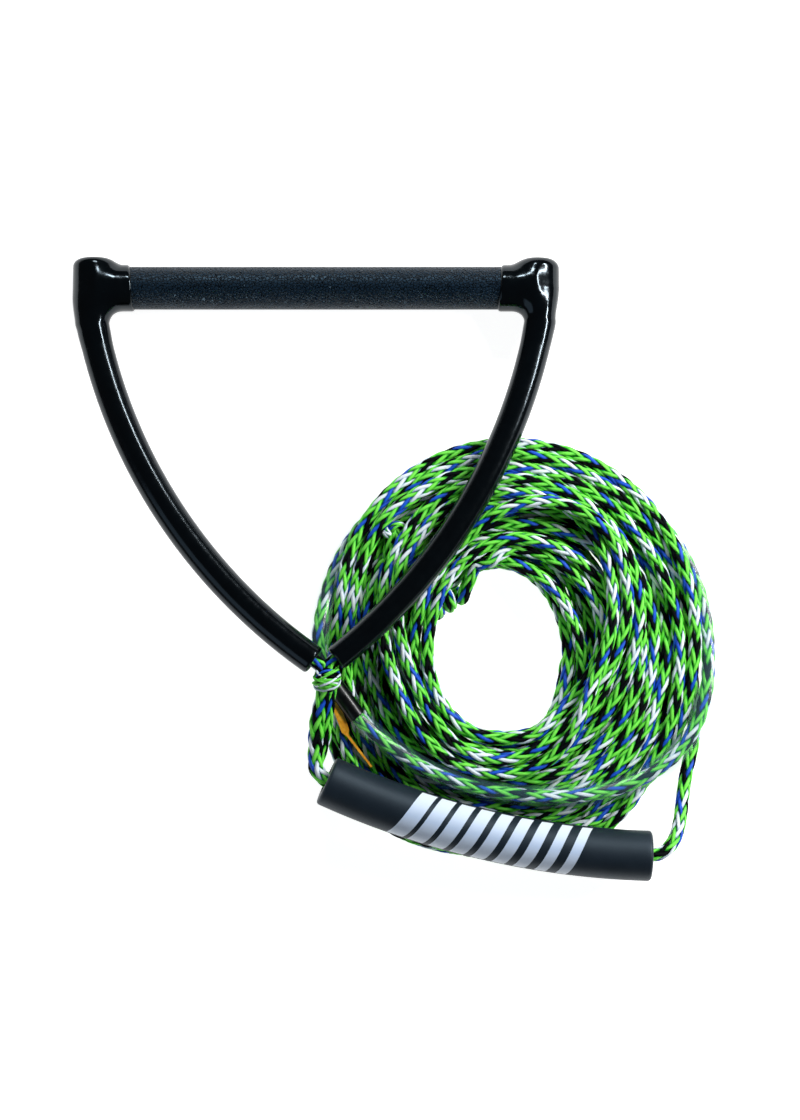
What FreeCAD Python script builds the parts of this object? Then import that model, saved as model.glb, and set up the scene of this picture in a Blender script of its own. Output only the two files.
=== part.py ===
"""Tow rope handle laid flat: padded bar, two curved arms, knotted tow rope, foam float and wound coil.

Millimetres, +Z up. The origin is the middle of the handle's footprint, on the surface it lies on.
+X runs along the bar, and the arms run from the bar towards -Y and rise over the coil.
"""
import FreeCAD
import Part
import math
import os

V = FreeCAD.Vector

# Handle: the bar's axis, and the slope of the arms as they rise over the coil
BAR_Y = 119.4
BAR_Z = 16.6
PITCH = 8.8
HALF_WIDTH = 165.0

# Bar, grip and the covers over the corners
TUBE_R = 12.7
TUBE_WALL = 1.5
TUBE_HALF = 140.0
GRIP_R = 14.5
GRIP_HALF = 130.0
COLLAR_R = 16.0
COLLAR_START = 124.0
BOSS_R = 14.0
BOSS_TOP = 19.6
BOSS_EDGE = 7.0
BOSS_X = 151.0
BOSS_STRAIGHT_TO = 6.0
BOSS_WAIST = (-10.0, 13.4)
BOSS_FOOT_ALONG_ARM = 24.0
BOSS_WALL = 0.5
JOINT_R = 16.5
JOINT_INSET = 1.0
WEB_R = 9.0
WEB_ENDS = [(140.0, -8.0), (147.0, -23.0)]
BUSH_LENGTH = 18.0
BUSH_FLANGE = 2.0

# Arms: three points of each arc, as X and distance from the bar, and the radii at root and tip
LEFT_ARC = [(-151.6, -23.5), (-111.0, -132.6), (-0.3, -254.8)]
RIGHT_ARC = [(151.9, -23.5), (106.9, -145.0), (14.0, -253.5)]
LEFT_ARM_R = (10.8, 10.0)
RIGHT_ARM_R = (10.4, 8.8)
ARM_BORE_R = 5.1
FERRULE_R = 6.6
FERRULE_LENGTH = 14.0
BRIDLE_TURN_R = 10.0

# Rope, and the knot that the handle turns about
ROPE_R = 4.75
SPLICE_R = 6.6
KNOT_AT = V(8.6, -145.0, 55.3)
KNOT_R = 8.8
KNOT_HALF = 9.5

# Float: ends of its bowed axis, the arc's radius in plan, and its sections
FLOAT_LEFT = V(7.5, -213.0, 41.0)
FLOAT_RIGHT = V(226.4, -264.6, 31.0)
FLOAT_BOW_R = 565.0
FLOAT_R = 17.0
FLOAT_EDGE = 2.0
LINER_R = 10.2
LINER_BORE_R = 8.8
FLOAT_CHANNEL_GAP = 1.0
FLOAT_TRAVEL = 8.0
ARM_CHANNEL_GAP = 1.5

# Coil: the ring's outer and inner outlines, as centre and half axes, and how they step in with height
COIL_OUTER = (133.0, -126.6, 136.0, 145.0)
COIL_INNER = (125.7, -127.3, 44.0, 55.0)
COIL_OUTER_STEPS = [(0.0, -5.0), (4.75, 0.0), (13.0, -1.0), (20.0, -8.0), (26.0, -22.0), (29.0, -36.0)]
COIL_INNER_STEPS = [(0.0, 5.0), (4.75, 0.0), (14.0, 1.5), (23.0, 9.0), (29.0, 20.0)]

# Tie: three wraps of the tail round part of the bundle at the hole's edge, and the tail's knot
TIE_AT = V(75.2, -83.8, 14.8)
TIE_ACROSS = V(-0.52, 0.854, 0.0)
TIE_HALF = (19.25, 9.75)
TIE_WRAPS = 3
TAIL_KNOT_AT = V(52.0, -46.0, 24.0)
TAIL_KNOT_R = 9.0

# Hose hoop round the coil
HOSE_R = 7.25
HOSE_BORE_R = 5.2
HOOP_ROPE_R = 4.7
COUPLING_R = 6.3
COUPLING_EDGE = 0.6

# Strap under the coupling: each point of its lower face, with its width there, and its thickness
STRAP = [
    (V(12.8, -160.0, 31.6), 6.0),
    (V(20.2, -180.2, 30.7), 5.4),
    (V(21.6, -183.2, 30.5), 1.8),
    (V(37.8, -204.6, 28.6), 1.4),
]
STRAP_THICK = 1.0

# Routes, as points that a smooth line bends towards. The lead runs from the knot to the coil.
SPLICE_ROUTE = [
    V(7.0, -150.0, 54.0),
    V(4.4, -161.0, 51.0),
    V(1.8, -171.5, 47.8),
    V(0.6, -181.5, 45.2),
    V(0.6, -193.0, 43.4),
    V(-0.2, -204.0, 41.6),
    V(4.8, -211.6, 41.2),
    V(13.4, -215.7, 40.8),
]
LEAD_IN_FLOAT = (0.036, 0.17, 0.34, 0.5, 0.66, 0.83, 0.955)
LEAD_ROUTE_OUT = [
    V(233.0, -264.2, 30.6),
    V(241.8, -256.2, 28.0),
    V(246.4, -243.6, 22.5),
    V(248.6, -227.0, 15.5),
    V(251.6, -208.5, 10.5),
    V(256.8, -190.5, 8.0),
]
HOOP_ROUTE = [
    V(28.4, -171.0, 30.5),
    V(40.5, -184.0, 30.8),
    V(60.0, -198.0, 31.2),
    V(81.5, -209.8, 31.5),
    V(109.0, -219.6, 31.5),
    V(138.0, -223.8, 31.0),
    V(167.0, -225.0, 30.0),
    V(195.0, -222.4, 28.0),
    V(221.0, -213.6, 25.5),
    V(242.8, -198.6, 23.0),
    V(257.8, -178.6, 21.5),
    V(265.4, -155.0, 17.5),
    V(267.0, -128.4, 12.0),
    V(265.0, -101.8, 8.6),
    V(257.8, -76.6, 7.4),
    V(245.8, -54.1, 7.4),
    V(229.4, -34.0, 7.4),
    V(206.3, -16.0, 7.4),
    V(176.0, -1.4, 7.4),
    V(140.0, 5.2, 7.4),
    V(104.0, 2.2, 7.4),
    V(72.4, -8.6, 7.6),
    V(47.4, -24.8, 9.0),
    V(28.3, -44.4, 12.0),
    V(14.7, -66.4, 16.0),
    V(6.2, -90.2, 21.5),
    V(2.0, -112.0, 27.5),
    V(1.4, -127.0, 30.2),
    V(6.6, -141.0, 30.5),
]


def circle(centre, direction, radius):
    """A circular wire."""
    return Part.Wire(Part.makeCircle(radius, centre, direction))


def rounded_run(points):
    """Straight runs joined by tangent arcs, with each arc's radius.

    A radius is 0.45 of the shorter run, over the tangent of half the turn.
    """
    edges = []
    radii = []
    start = points[0]
    for i in range(1, len(points) - 1):
        corner = points[i]
        back = points[i - 1] - corner
        ahead = points[i + 1] - corner
        reach = 0.45 * min(back.Length, ahead.Length)
        turn = math.pi - back.getAngle(ahead)
        radii.append(reach / math.tan(turn / 2))
        back = back.normalize()
        ahead = ahead.normalize()
        first = corner + back * reach
        last = corner + ahead * reach
        inward = (back + ahead).normalize()
        centre = corner + inward * math.hypot(reach, radii[-1])
        middle = centre - inward * radii[-1]
        edges.append(Part.makeLine(start, first))
        edges.append(Part.Arc(first, middle, last).toShape())
        start = last
    edges.append(Part.makeLine(start, points[-1]))
    return edges, radii


def sweep(edges, radius, end_radius=None):
    """A round solid along edges that run on smoothly from one another, tapered if it has an end radius."""
    path = Part.Wire(edges)
    first = edges[0]
    start = first.valueAt(first.FirstParameter)
    along = first.tangentAt(first.FirstParameter)
    profiles = [circle(start, along, radius)]
    if end_radius is not None:
        last = edges[-1]
        stop = last.valueAt(last.LastParameter)
        profiles.append(circle(stop, last.tangentAt(last.LastParameter), end_radius))
    return path.makePipeShell(profiles, True, False)


def route_tube(name, points, radius):
    """A cord's tube along a route. It reports the route's radii and compares the tube's volume."""
    edges, radii = rounded_run(points)
    tube = sweep(edges, radius)
    length = sum(e.Length for e in edges)
    share = tube.Volume / (math.pi * radius ** 2 * length)
    smallest = min(radii) / (2 * radius)
    report = "%s: length %.1f, smallest bend %.1f (%.1f diameters), volume share %.4f"
    print(report % (name, length, min(radii), smallest, share))
    return tube


def rod(start, end, radius):
    """A cylinder between two points."""
    return Part.makeCylinder(radius, (end - start).Length, start, end - start)


def flat_to_lie(shape):
    """Takes a shape from the handle's own plane, where the bar is at Y 0, to where the handle lies."""
    shape.rotate(V(0, 0, 0), V(1, 0, 0), -PITCH)
    shape.translate(V(0, BAR_Y, BAR_Z))
    return shape


def arm_arc(points):
    """An arm's centreline, from its root at the corner to its tip."""
    return Part.Arc(*[V(x, y, 0) for x, y in points]).toShape()


def arm_outer(points, radii, more=0.0):
    """An arm as a full tapered rod, thicker all round by more."""
    return sweep([arm_arc(points)], radii[0] + more, radii[1] + more)


def tip_rod(arc, radius, length):
    """A straight rod that runs into an arm from its tip."""
    tip = arc.valueAt(arc.LastParameter)
    back = arc.tangentAt(arc.LastParameter) * -1
    return rod(tip, tip + back * length, radius)


def bridle_corner(arc, side):
    """The line and the bend that join an arm's root to the bar's axis, and where the bend ends."""
    root = arc.valueAt(arc.FirstParameter)
    up = arc.tangentAt(arc.FirstParameter) * -1
    corner = root + up * (-root.y / up.y)
    inward = V(-side, 0, 0)
    turn = up.getAngle(inward)
    reach = BRIDLE_TURN_R * math.tan(turn / 2)
    first = corner - up * reach
    last = corner + inward * reach
    bisector = (inward - up).normalize()
    middle = corner + bisector * (math.hypot(reach, BRIDLE_TURN_R) - BRIDLE_TURN_R)
    return [Part.makeLine(root, first), Part.Arc(first, middle, last).toShape()], last


def bridle_edges():
    """The bridle rope's path: up the left arm, through the bar and down the right arm."""
    left = arm_arc(LEFT_ARC)
    right = arm_arc(RIGHT_ARC)
    left_corner, left_end = bridle_corner(left, -1)
    right_corner, right_end = bridle_corner(right, 1)
    left_points = [V(x, y, 0) for x, y in reversed(LEFT_ARC)]
    right_points = [V(x, y, 0) for x, y in RIGHT_ARC]
    back = [Part.makeLine(e.valueAt(e.LastParameter), e.valueAt(e.FirstParameter))
            if e.Curve.TypeId == "Part::GeomLine" else reversed_arc(e) for e in reversed(right_corner)]
    return ([Part.Arc(*left_points).toShape()] + left_corner + [Part.makeLine(left_end, right_end)]
            + back + [Part.Arc(*right_points).toShape()])


def reversed_arc(edge):
    """An arc run the other way."""
    first = edge.valueAt(edge.FirstParameter)
    middle = edge.valueAt((edge.FirstParameter + edge.LastParameter) / 2)
    last = edge.valueAt(edge.LastParameter)
    return Part.Arc(last, middle, first).toShape()


def boss_body(arc, side, radius):
    """The boss: round in section, from its flat top down to where it meets the arm."""
    start = arc.FirstParameter
    foot = arc.getParameterByLength(BOSS_FOOT_ALONG_ARM)
    waist, waist_r = BOSS_WAIST
    root_r = radius + 2 * BOSS_WALL
    down = V(0, -1, 0)
    rings = [
        (V(side * BOSS_X, BOSS_TOP, 0), down, BOSS_R),
        (V(side * BOSS_X, BOSS_STRAIGHT_TO, 0), down, BOSS_R),
        (V(side * BOSS_X, waist, 0), down, waist_r),
        (arc.valueAt(start), arc.tangentAt(start), root_r),
        (arc.valueAt(foot), arc.tangentAt(foot), radius + BOSS_WALL),
    ]
    boss = Part.makeLoft([circle(*ring) for ring in rings], True, False)
    top_edge = [e for e in boss.Edges if abs(e.CenterOfMass.y - BOSS_TOP) < 0.01]
    return boss.makeFillet(BOSS_EDGE, top_edge)


def corner_cover(points, side, radii, cavity):
    """The dip-coated cover over one corner: the boss over the arm's root, the collar over the grip's end."""
    boss = boss_body(arm_arc(points), side, radii[0])
    centre = V(side * (HALF_WIDTH - JOINT_INSET - JOINT_R), 0, 0)
    joint = Part.makeSphere(JOINT_R, centre)
    collar = rod(V(side * COLLAR_START, 0, 0), centre, COLLAR_R)
    web_start, web_end = [V(side * x, y, 0) for x, y in WEB_ENDS]
    web = rod(web_start, web_end, WEB_R)
    cover = boss.fuse([joint, collar, web])
    return cover.cut([arm_outer(points, radii)] + cavity)


def bar_pieces():
    """The tube, the grip over it and the two bushes in the tube's ends."""
    bore_r = TUBE_R - TUBE_WALL
    tube = rod(V(-TUBE_HALF, 0, 0), V(TUBE_HALF, 0, 0), TUBE_R)
    tube = tube.cut(rod(V(-TUBE_HALF, 0, 0), V(TUBE_HALF, 0, 0), bore_r))
    grip = rod(V(-GRIP_HALF, 0, 0), V(GRIP_HALF, 0, 0), GRIP_R)
    grip = grip.cut(rod(V(-GRIP_HALF, 0, 0), V(GRIP_HALF, 0, 0), TUBE_R))
    bushes = []
    for side in (-1, 1):
        inner = V(side * (TUBE_HALF - BUSH_LENGTH), 0, 0)
        face = V(side * TUBE_HALF, 0, 0)
        outer = V(side * (TUBE_HALF + BUSH_FLANGE), 0, 0)
        bush = rod(inner, face, bore_r).fuse(rod(face, outer, TUBE_R))
        bushes.append(bush.cut(rod(inner, outer, ARM_BORE_R)).removeSplitter())
    return tube, grip, bushes


def handle_nodes():
    """Every piece of the handle, in its own plane."""
    tube, grip, bushes = bar_pieces()
    bridle = sweep(bridle_edges(), ROPE_R)
    bridle_space = sweep(bridle_edges(), ARM_BORE_R)
    bar_space = rod(V(-TUBE_HALF, 0, 0), V(TUBE_HALF, 0, 0), TUBE_R)
    grip_space = rod(V(-GRIP_HALF, 0, 0), V(GRIP_HALF, 0, 0), GRIP_R)
    flange = TUBE_HALF + BUSH_FLANGE
    flange_space = rod(V(-flange, 0, 0), V(flange, 0, 0), TUBE_R)
    nodes = {"bar_tube": tube, "grip_sleeve": grip, "bridle_rope": bridle}
    sides = [("left", -1, LEFT_ARC, LEFT_ARM_R, bushes[0]), ("right", 1, RIGHT_ARC, RIGHT_ARM_R, bushes[1])]
    for name, side, points, radii, bush in sides:
        arc = arm_arc(points)
        socket = tip_rod(arc, FERRULE_R, FERRULE_LENGTH)
        arm = arm_outer(points, radii).cut([bridle_space, socket])
        cavity = [bridle_space, bar_space, grip_space, flange_space]
        nodes[name + "_tube_bush"] = bush
        nodes[name + "_arm"] = arm
        nodes[name + "_tip_ferrule"] = socket.cut(bridle_space)
        nodes[name + "_corner_cover"] = corner_cover(points, side, radii, cavity)
    return {name: flat_to_lie(shape) for name, shape in nodes.items()}


def float_arc(extra=0.0):
    """The float's bowed axis, longer by extra at each end, and the bow's centre."""
    across = FLOAT_RIGHT - FLOAT_LEFT
    up = V(0, 0, 1)
    normal = across.cross(up.cross(across)).normalize()
    inward = normal.cross(across).normalize()
    half = across.Length / 2
    centre = (FLOAT_LEFT + FLOAT_RIGHT) * 0.5 + inward * math.sqrt(FLOAT_BOW_R ** 2 - half ** 2)
    angle = math.asin(half / FLOAT_BOW_R) + extra / FLOAT_BOW_R

    def at(part):
        """The axis point at a share of the length from the left end, taken about the middle."""
        turn = (2 * part - 1) * angle
        out = inward * (-math.cos(turn)) + across.normalize() * math.sin(turn)
        return centre + out * FLOAT_BOW_R

    return Part.Arc(at(0.0), at(0.5), at(1.0)).toShape(), centre, normal, at


def bowed_rod(radius, extra=0.0):
    """A round rod along the float's axis, longer by extra at each end."""
    arc, centre, normal, at = float_arc(extra)
    along = arc.tangentAt(arc.FirstParameter)
    turn = math.degrees(arc.Length / FLOAT_BOW_R)
    disc = Part.Face(circle(at(0.0), along, radius))
    return disc.revolve(centre, normal, turn)


def float_nodes():
    """The foam float and the liner in its bore."""
    foam = bowed_rod(FLOAT_R)
    rims = [e for e in foam.Edges if abs(e.Length - 2 * math.pi * FLOAT_R) < 1.0 and e.Closed]
    foam = foam.makeFillet(FLOAT_EDGE, rims)
    foam = foam.cut(bowed_rod(LINER_R, 2.0))
    liner = bowed_rod(LINER_R).cut(bowed_rod(LINER_BORE_R, 2.0))
    return {"float_body": foam, "float_liner": liner}


def ellipse_stack(outline, steps):
    """A solid through one ellipse for each (height, how much larger than the outline)."""
    x, y, half_x, half_y = outline
    wires = []
    for height, more in steps:
        far = V(x, y + half_y + more, height)
        near = V(x + half_x + more, y, height)
        wires.append(Part.Wire(Part.Ellipse(far, near, V(x, y, height)).toShape()))
    return Part.makeLoft(wires, True, False)


def coil_node():
    """The wound rope's outer shape: a low ring, hollowed where the float and the arms press on it."""
    ring = ellipse_stack(COIL_OUTER, COIL_OUTER_STEPS).cut(ellipse_stack(COIL_INNER, COIL_INNER_STEPS))
    channels = [bowed_rod(FLOAT_R + FLOAT_CHANNEL_GAP, FLOAT_TRAVEL)]
    for points, radii in ((LEFT_ARC, LEFT_ARM_R), (RIGHT_ARC, RIGHT_ARM_R)):
        channels.append(flat_to_lie(arm_outer(points, radii, ARM_CHANNEL_GAP)))
    return ring.cut(channels)


def tie_node():
    """The tail's wraps round part of the bundle, as one flattened band."""
    across = V(TIE_ACROSS).normalize()
    along = V(0, 0, 1).cross(across)
    width = TIE_WRAPS * 2 * ROPE_R
    start = TIE_AT - along * (width / 2)
    straight = TIE_HALF[0] - TIE_HALF[1]

    def stadium(radius):
        """A bar with rounded ends across the bundle."""
        ends = [start + across * straight, start - across * straight]
        body = Part.makeCylinder(radius, width, ends[0], along)
        body = body.fuse(Part.makeCylinder(radius, width, ends[1], along))
        block = Part.makeBox(2 * straight, 2 * radius, width)
        frame = FreeCAD.Matrix(across.x, 0, along.x, 0, across.y, 0, along.y, 0, 0, 1, 0, 0, 0, 0, 0, 1)
        block.transformShape(frame, True)
        block.translate(ends[1] - V(0, 0, radius))
        return body.fuse(block).removeSplitter()

    return stadium(TIE_HALF[1] + ROPE_R).cut(stadium(TIE_HALF[1] - ROPE_R))


def knot_node():
    """The main knot: a short barrel along the axis that the handle turns about."""
    low = KNOT_AT - V(KNOT_HALF, 0, 0)
    barrel = Part.makeCylinder(KNOT_R, 2 * KNOT_HALF, low, V(1, 0, 0))
    return barrel.makeFillet(KNOT_R * 0.45, [e for e in barrel.Edges if e.Closed])


def hoop_nodes():
    """The clear hose, the rope inside it and the coupling that joins the hose's ends."""
    hose = route_tube("hoop_hose", HOOP_ROUTE, HOSE_R).cut(sweep(rounded_run(HOOP_ROUTE)[0], HOSE_BORE_R))
    rope = route_tube("hoop_rope", HOOP_ROUTE, HOOP_ROPE_R)
    coupling = rod(HOOP_ROUTE[-1], HOOP_ROUTE[0], COUPLING_R)
    coupling = coupling.makeFillet(COUPLING_EDGE, [e for e in coupling.Edges if e.Closed])
    coupling = coupling.cut(sweep(rounded_run(HOOP_ROUTE)[0], HOSE_R))
    return {"hoop_hose": hose, "hoop_rope": rope, "hoop_coupling": coupling}


def strap_node():
    """A thin flat strap that runs from under the coupling over the coil and narrows to a tail."""
    up = V(0, 0, STRAP_THICK)
    along = (STRAP[-1][0] - STRAP[0][0]).normalize()
    side = along.cross(V(0, 0, 1)).normalize()
    sections = []
    for middle, width in STRAP:
        left = middle - side * (width / 2)
        right = middle + side * (width / 2)
        sections.append(Part.makePolygon([left, right, right + up, left + up, left]))
    return Part.makeLoft(sections, True, True)


def rope_nodes():
    """Every piece of the rope, from the main knot to the tail's knot."""
    at = float_arc()[3]
    through = [at(share) for share in LEAD_IN_FLOAT]
    splice = route_tube("lead_splice", SPLICE_ROUTE, SPLICE_R)
    lead = route_tube("lead_rope", [SPLICE_ROUTE[-1]] + through[1:] + LEAD_ROUTE_OUT, ROPE_R)
    nodes = {
        "bridle_knot": knot_node(),
        "lead_splice": splice,
        "lead_rope": lead,
        "rope_coil": coil_node(),
        "coil_tie": tie_node(),
        "tail_knot": Part.makeSphere(TAIL_KNOT_R, TAIL_KNOT_AT),
        "tag_strap": strap_node(),
    }
    nodes.update(hoop_nodes())
    return nodes


def main():
    os.makedirs("parts", exist_ok=True)
    handle = handle_nodes()
    box = Part.makeCompound(list(handle.values())).optimalBoundingBox()
    print("handle box", [round(v, 2) for v in (box.XMin, box.XMax, box.YMin, box.YMax, box.ZMin, box.ZMax)])
    arc, centre, normal, at = float_arc()
    print("float arc centre", [round(v, 3) for v in centre], "axis", [round(v, 5) for v in normal])
    through = [[round(c, 2) for c in at(share)] for share in LEAD_IN_FLOAT]
    print("float arc length", round(arc.Length, 1), "points", through)
    nodes = dict(handle)
    nodes.update(rope_nodes())
    nodes.update(float_nodes())
    for name, shape in nodes.items():
        if not shape.isValid() or not shape.Solids:
            print("PROBLEM", name, "valid", shape.isValid(), "solids", len(shape.Solids))
        if len(shape.Solids) == 1:
            shape = shape.Solids[0]
        shape.exportStep("parts/" + name + ".step")
    print(len(nodes), "nodes")


main()
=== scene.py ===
import math

import bpy
import numpy as np
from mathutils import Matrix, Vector


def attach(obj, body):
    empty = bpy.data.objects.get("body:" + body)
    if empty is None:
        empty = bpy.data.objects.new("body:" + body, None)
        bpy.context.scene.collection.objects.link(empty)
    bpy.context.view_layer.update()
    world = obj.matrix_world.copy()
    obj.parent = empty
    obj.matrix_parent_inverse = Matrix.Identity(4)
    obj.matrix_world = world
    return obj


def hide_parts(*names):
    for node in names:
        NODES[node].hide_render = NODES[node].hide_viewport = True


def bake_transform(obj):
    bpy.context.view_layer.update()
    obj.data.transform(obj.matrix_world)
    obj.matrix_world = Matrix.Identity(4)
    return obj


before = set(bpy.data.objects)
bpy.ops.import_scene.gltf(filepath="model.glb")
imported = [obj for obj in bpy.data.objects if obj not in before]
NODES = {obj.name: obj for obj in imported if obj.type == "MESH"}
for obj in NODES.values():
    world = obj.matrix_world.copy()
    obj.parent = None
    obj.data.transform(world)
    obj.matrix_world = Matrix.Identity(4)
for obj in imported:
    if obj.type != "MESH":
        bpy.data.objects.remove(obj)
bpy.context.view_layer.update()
MM = 0.001

# ---------------------------------------------------------------- camera

CAMERA_AT = (0.0570, -0.0650, 2.5)
VIEW_HEIGHT = 0.765
SENSOR = 36.0
camera_data = bpy.data.cameras.new("camera")
camera_data.sensor_width = SENSOR
camera_data.lens = SENSOR * CAMERA_AT[2] / VIEW_HEIGHT
camera = bpy.data.objects.new("camera", camera_data)
camera.location = CAMERA_AT
bpy.context.scene.collection.objects.link(camera)
bpy.context.scene.camera = camera

# ---------------------------------------------------------------- routes, in millimetres

ROPE_D = 9.5
SPLICE_ROUTE = [(7.0, -150.0, 54.0), (4.4, -161.0, 51.0), (1.8, -171.5, 47.8), (0.6, -181.5, 45.2),
                (0.6, -193.0, 43.4), (-0.2, -204.0, 41.6), (4.8, -211.6, 41.2), (13.4, -215.7, 40.8)]
# The lead: its points inside the float, as shares of the float's bow, and its points from there on
LEAD_IN_FLOAT = [0.17, 0.34, 0.5, 0.66, 0.83, 0.955]
LEAD_OUT = [(233.0, -264.2, 30.6), (241.8, -256.2, 28.0), (246.4, -243.6, 22.5),
            (248.6, -227.0, 15.5), (251.6, -208.5, 10.5), (256.8, -190.5, 8.0)]
HOOP_ROUTE = [(28.4, -171.0, 30.5), (40.5, -184.0, 30.8), (60.0, -198.0, 31.2), (81.5, -209.8, 31.5),
              (109.0, -219.6, 31.5), (138.0, -223.8, 31.0), (167.0, -225.0, 30.0),
              (195.0, -222.4, 28.0), (221.0, -213.6, 25.5), (242.8, -198.6, 23.0),
              (257.8, -178.6, 21.5), (265.4, -155.0, 17.5), (267.0, -128.4, 12.0),
              (265.0, -101.8, 8.6), (257.8, -76.6, 7.4), (245.8, -54.1, 7.4),
              (229.4, -34.0, 7.4), (206.3, -16.0, 7.4), (176.0, -1.4, 7.4), (140.0, 5.2, 7.4),
              (104.0, 2.2, 7.4), (72.4, -8.6, 7.6), (47.4, -24.8, 9.0), (28.3, -44.4, 12.0),
              (14.7, -66.4, 16.0), (6.2, -90.2, 21.5), (2.0, -112.0, 27.5), (1.4, -127.0, 30.2),
              (6.6, -141.0, 30.5)]

BAR_Y, BAR_Z, PITCH = 119.4, 16.6, math.radians(8.8)
HALF_WIDTH = 165.0
# Each arm's arc in the handle's own plane, by its root, a point on it and its tip, and its two radii
LEFT_ARC = [(-151.6, -23.5), (-111.0, -132.6), (-0.3, -254.8)]
RIGHT_ARC = [(151.9, -23.5), (106.9, -145.0), (14.0, -253.5)]
LEFT_ARM_R, RIGHT_ARM_R = (10.8, 10.0), (10.4, 8.8)
KNOT_AT = np.array([8.6, -145.0, 55.3])
FLOAT_LEFT, FLOAT_RIGHT = np.array([7.5, -213.0, 41.0]), np.array([226.4, -264.6, 31.0])
FLOAT_BOW_R, FLOAT_R, LINER_R = 565.0, 17.0, 10.2
HOSE_R, HOSE_BORE_R = 7.25, 5.2
COIL_OUTER = (132.5, -126.6, 134.5, 145.0)
COIL_INNER = (122.8, -126.0, 44.0, 56.0)
TIE_AT = np.array([75.2, -83.8, 14.8])
TIE_ACROSS, TIE_ALONG = np.array([-0.52, 0.854, 0.0]), np.array([-0.854, -0.52, 0.0])
TIE_HALF, TIE_TURNS, TIE_PITCH = (19.25, 9.75), 3.5, 9.4
# How square the tie's wraps are round the bundle, and the points in each
TIE_SQUARE, WRAP_POINTS = 2.5, 14
TIE_ROUTE_IN = [(103.8, -79.0, 20.5), (100.6, -86.4, 19.0)]
TAIL_KNOT_AT = np.array([52.0, -46.0, 24.0])
TAIL_ROUTE = [(49.9, -70.8, 19.4), (49.4, -62.8, 22.2), (50.4, -54.0, 23.6)]


def lengths(line):
    """The length of each step of a line."""
    return np.linalg.norm(np.diff(line, axis=0), axis=1)


def stations(line):
    """How far along a line each of its points is."""
    return np.concatenate([[0.0], np.cumsum(lengths(line))])


def unit(v):
    """Vectors brought to length 1."""
    return v / np.linalg.norm(v, axis=1)[:, None]


def evenly(line, step):
    """A line's points again, at even steps."""
    s = stations(line)
    at = np.linspace(0, s[-1], max(2, int(s[-1] / step) + 1))
    return np.stack([np.interp(at, s, line[:, k]) for k in range(3)], 1)


def lie(x, s):
    """A point of the handle's own plane, where the handle lies."""
    return np.stack([x, BAR_Y + s * math.cos(PITCH), BAR_Z - s * math.sin(PITCH)], -1)


def circle_through(points, count):
    """Points along the arc through three points of a plane."""
    (x1, y1), (x2, y2), (x3, y3) = points
    a = 2 * np.array([[x2 - x1, y2 - y1], [x3 - x1, y3 - y1]])
    b = np.array([x2 ** 2 - x1 ** 2 + y2 ** 2 - y1 ** 2, x3 ** 2 - x1 ** 2 + y3 ** 2 - y1 ** 2])
    cx, cy = np.linalg.solve(a, b)
    radius = math.hypot(x1 - cx, y1 - cy)
    first, last = math.atan2(y1 - cy, x1 - cx), math.atan2(y3 - cy, x3 - cx)
    sweep = (last - first + math.pi) % (2 * math.pi) - math.pi
    angle = first + sweep * np.linspace(0, 1, count)
    return cx + radius * np.cos(angle), cy + radius * np.sin(angle)


def arm_line(points, count=100):
    """An arm's centreline, from root to tip."""
    x, s = circle_through(points, count)
    return lie(x, s)


def float_line(share):
    """The float's bowed axis at shares of its length from the left end."""
    across = FLOAT_RIGHT - FLOAT_LEFT
    span = np.linalg.norm(across)
    across = across / span
    normal = np.cross(across, np.cross([0, 0, 1.0], across))
    normal = normal / np.linalg.norm(normal)
    inward = np.cross(normal, across)
    centre = (FLOAT_LEFT + FLOAT_RIGHT) / 2 + inward * math.sqrt(FLOAT_BOW_R ** 2 - span ** 2 / 4)
    turn = (2 * np.asarray(share) - 1) * math.asin(span / 2 / FLOAT_BOW_R)
    return centre + FLOAT_BOW_R * (-np.outer(np.cos(turn), inward) + np.outer(np.sin(turn), across))


LEAD_ROUTE = [*np.round(float_line(LEAD_IN_FLOAT), 2), *LEAD_OUT]

# ---------------------------------------------------------------- the coil's turns

START_ANGLE, END_ANGLE = math.radians(-26.5), math.radians(110.0)
# The step between points at the coil's mean radius
TURN_STEP, MEAN_R = 6.5, 98.0
# The height that the last turn ends at, and the part of a turn in which it moves to the next one's place
LAST_HEIGHT, CHANGE_FROM, CHANGE_TAKES = 17.0, 0.35, 0.65
# Groups of turns: how many, how high, and the share of the way out from the hole to the coil's
# edge at eight angles, anticlockwise from +X, for the group's first turn and its last
GROUPS = [
    (8, 4.8, [.97, .97, .97, .97, .97, .97, .97, .97], [.04, .08, .10, .40, .14, .10, .08, .04]),
    (3, 13.0, [.11, .11, .08, .10, .14, .12, .07, .09], [.01, .01, .01, .05, .02, .02, .02, .01]),
    (5, 14.0, [.50, .54, .26, .18, .22, .20, .16, .26], [.93, .94, .94, .97, .94, .92, .90, .90]),
    (4, 21.2, [.88, .90, .90, .94, .92, .86, .80, .82], [.60, .66, .40, .50, .34, .28, .30, .42]),
    (3, 28.0, [.48, .86, .92, .60, .24, .16, .20, .20], [.32, .60, .60, .34, .10, .04, .10, .08]),
    (2, 23.0, [.30, .22, .14, .16, .08, .08, .06, .08], [.20, .12, .02, .03, .01, .02, .02, .01]),
]
# The turns that the tie holds
TIED_TURNS = (8.6, 11.6)
# How square the hole is on its +X -Y side, and the coil on its -X -Y side: 1 is round
HOLE_CORNER, COIL_CORNER = 0.55, 0.62
# How far turns wander from their place, as sums of waves, and how soon the first turn starts to
WANDER, WAVES, WAVE_FIRST, WAVE_MORE, STEADY_START = 0.046, 8, 0.31, 0.27, 0.6
ANY_PHASE, COIL_SEED, KNOT_SEED = 6.3, 5, 8


def ease(f):
    """A smooth step from 0 to 1."""
    f = np.clip(f, 0, 1)
    return f * f * (3 - 2 * f)


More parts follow.
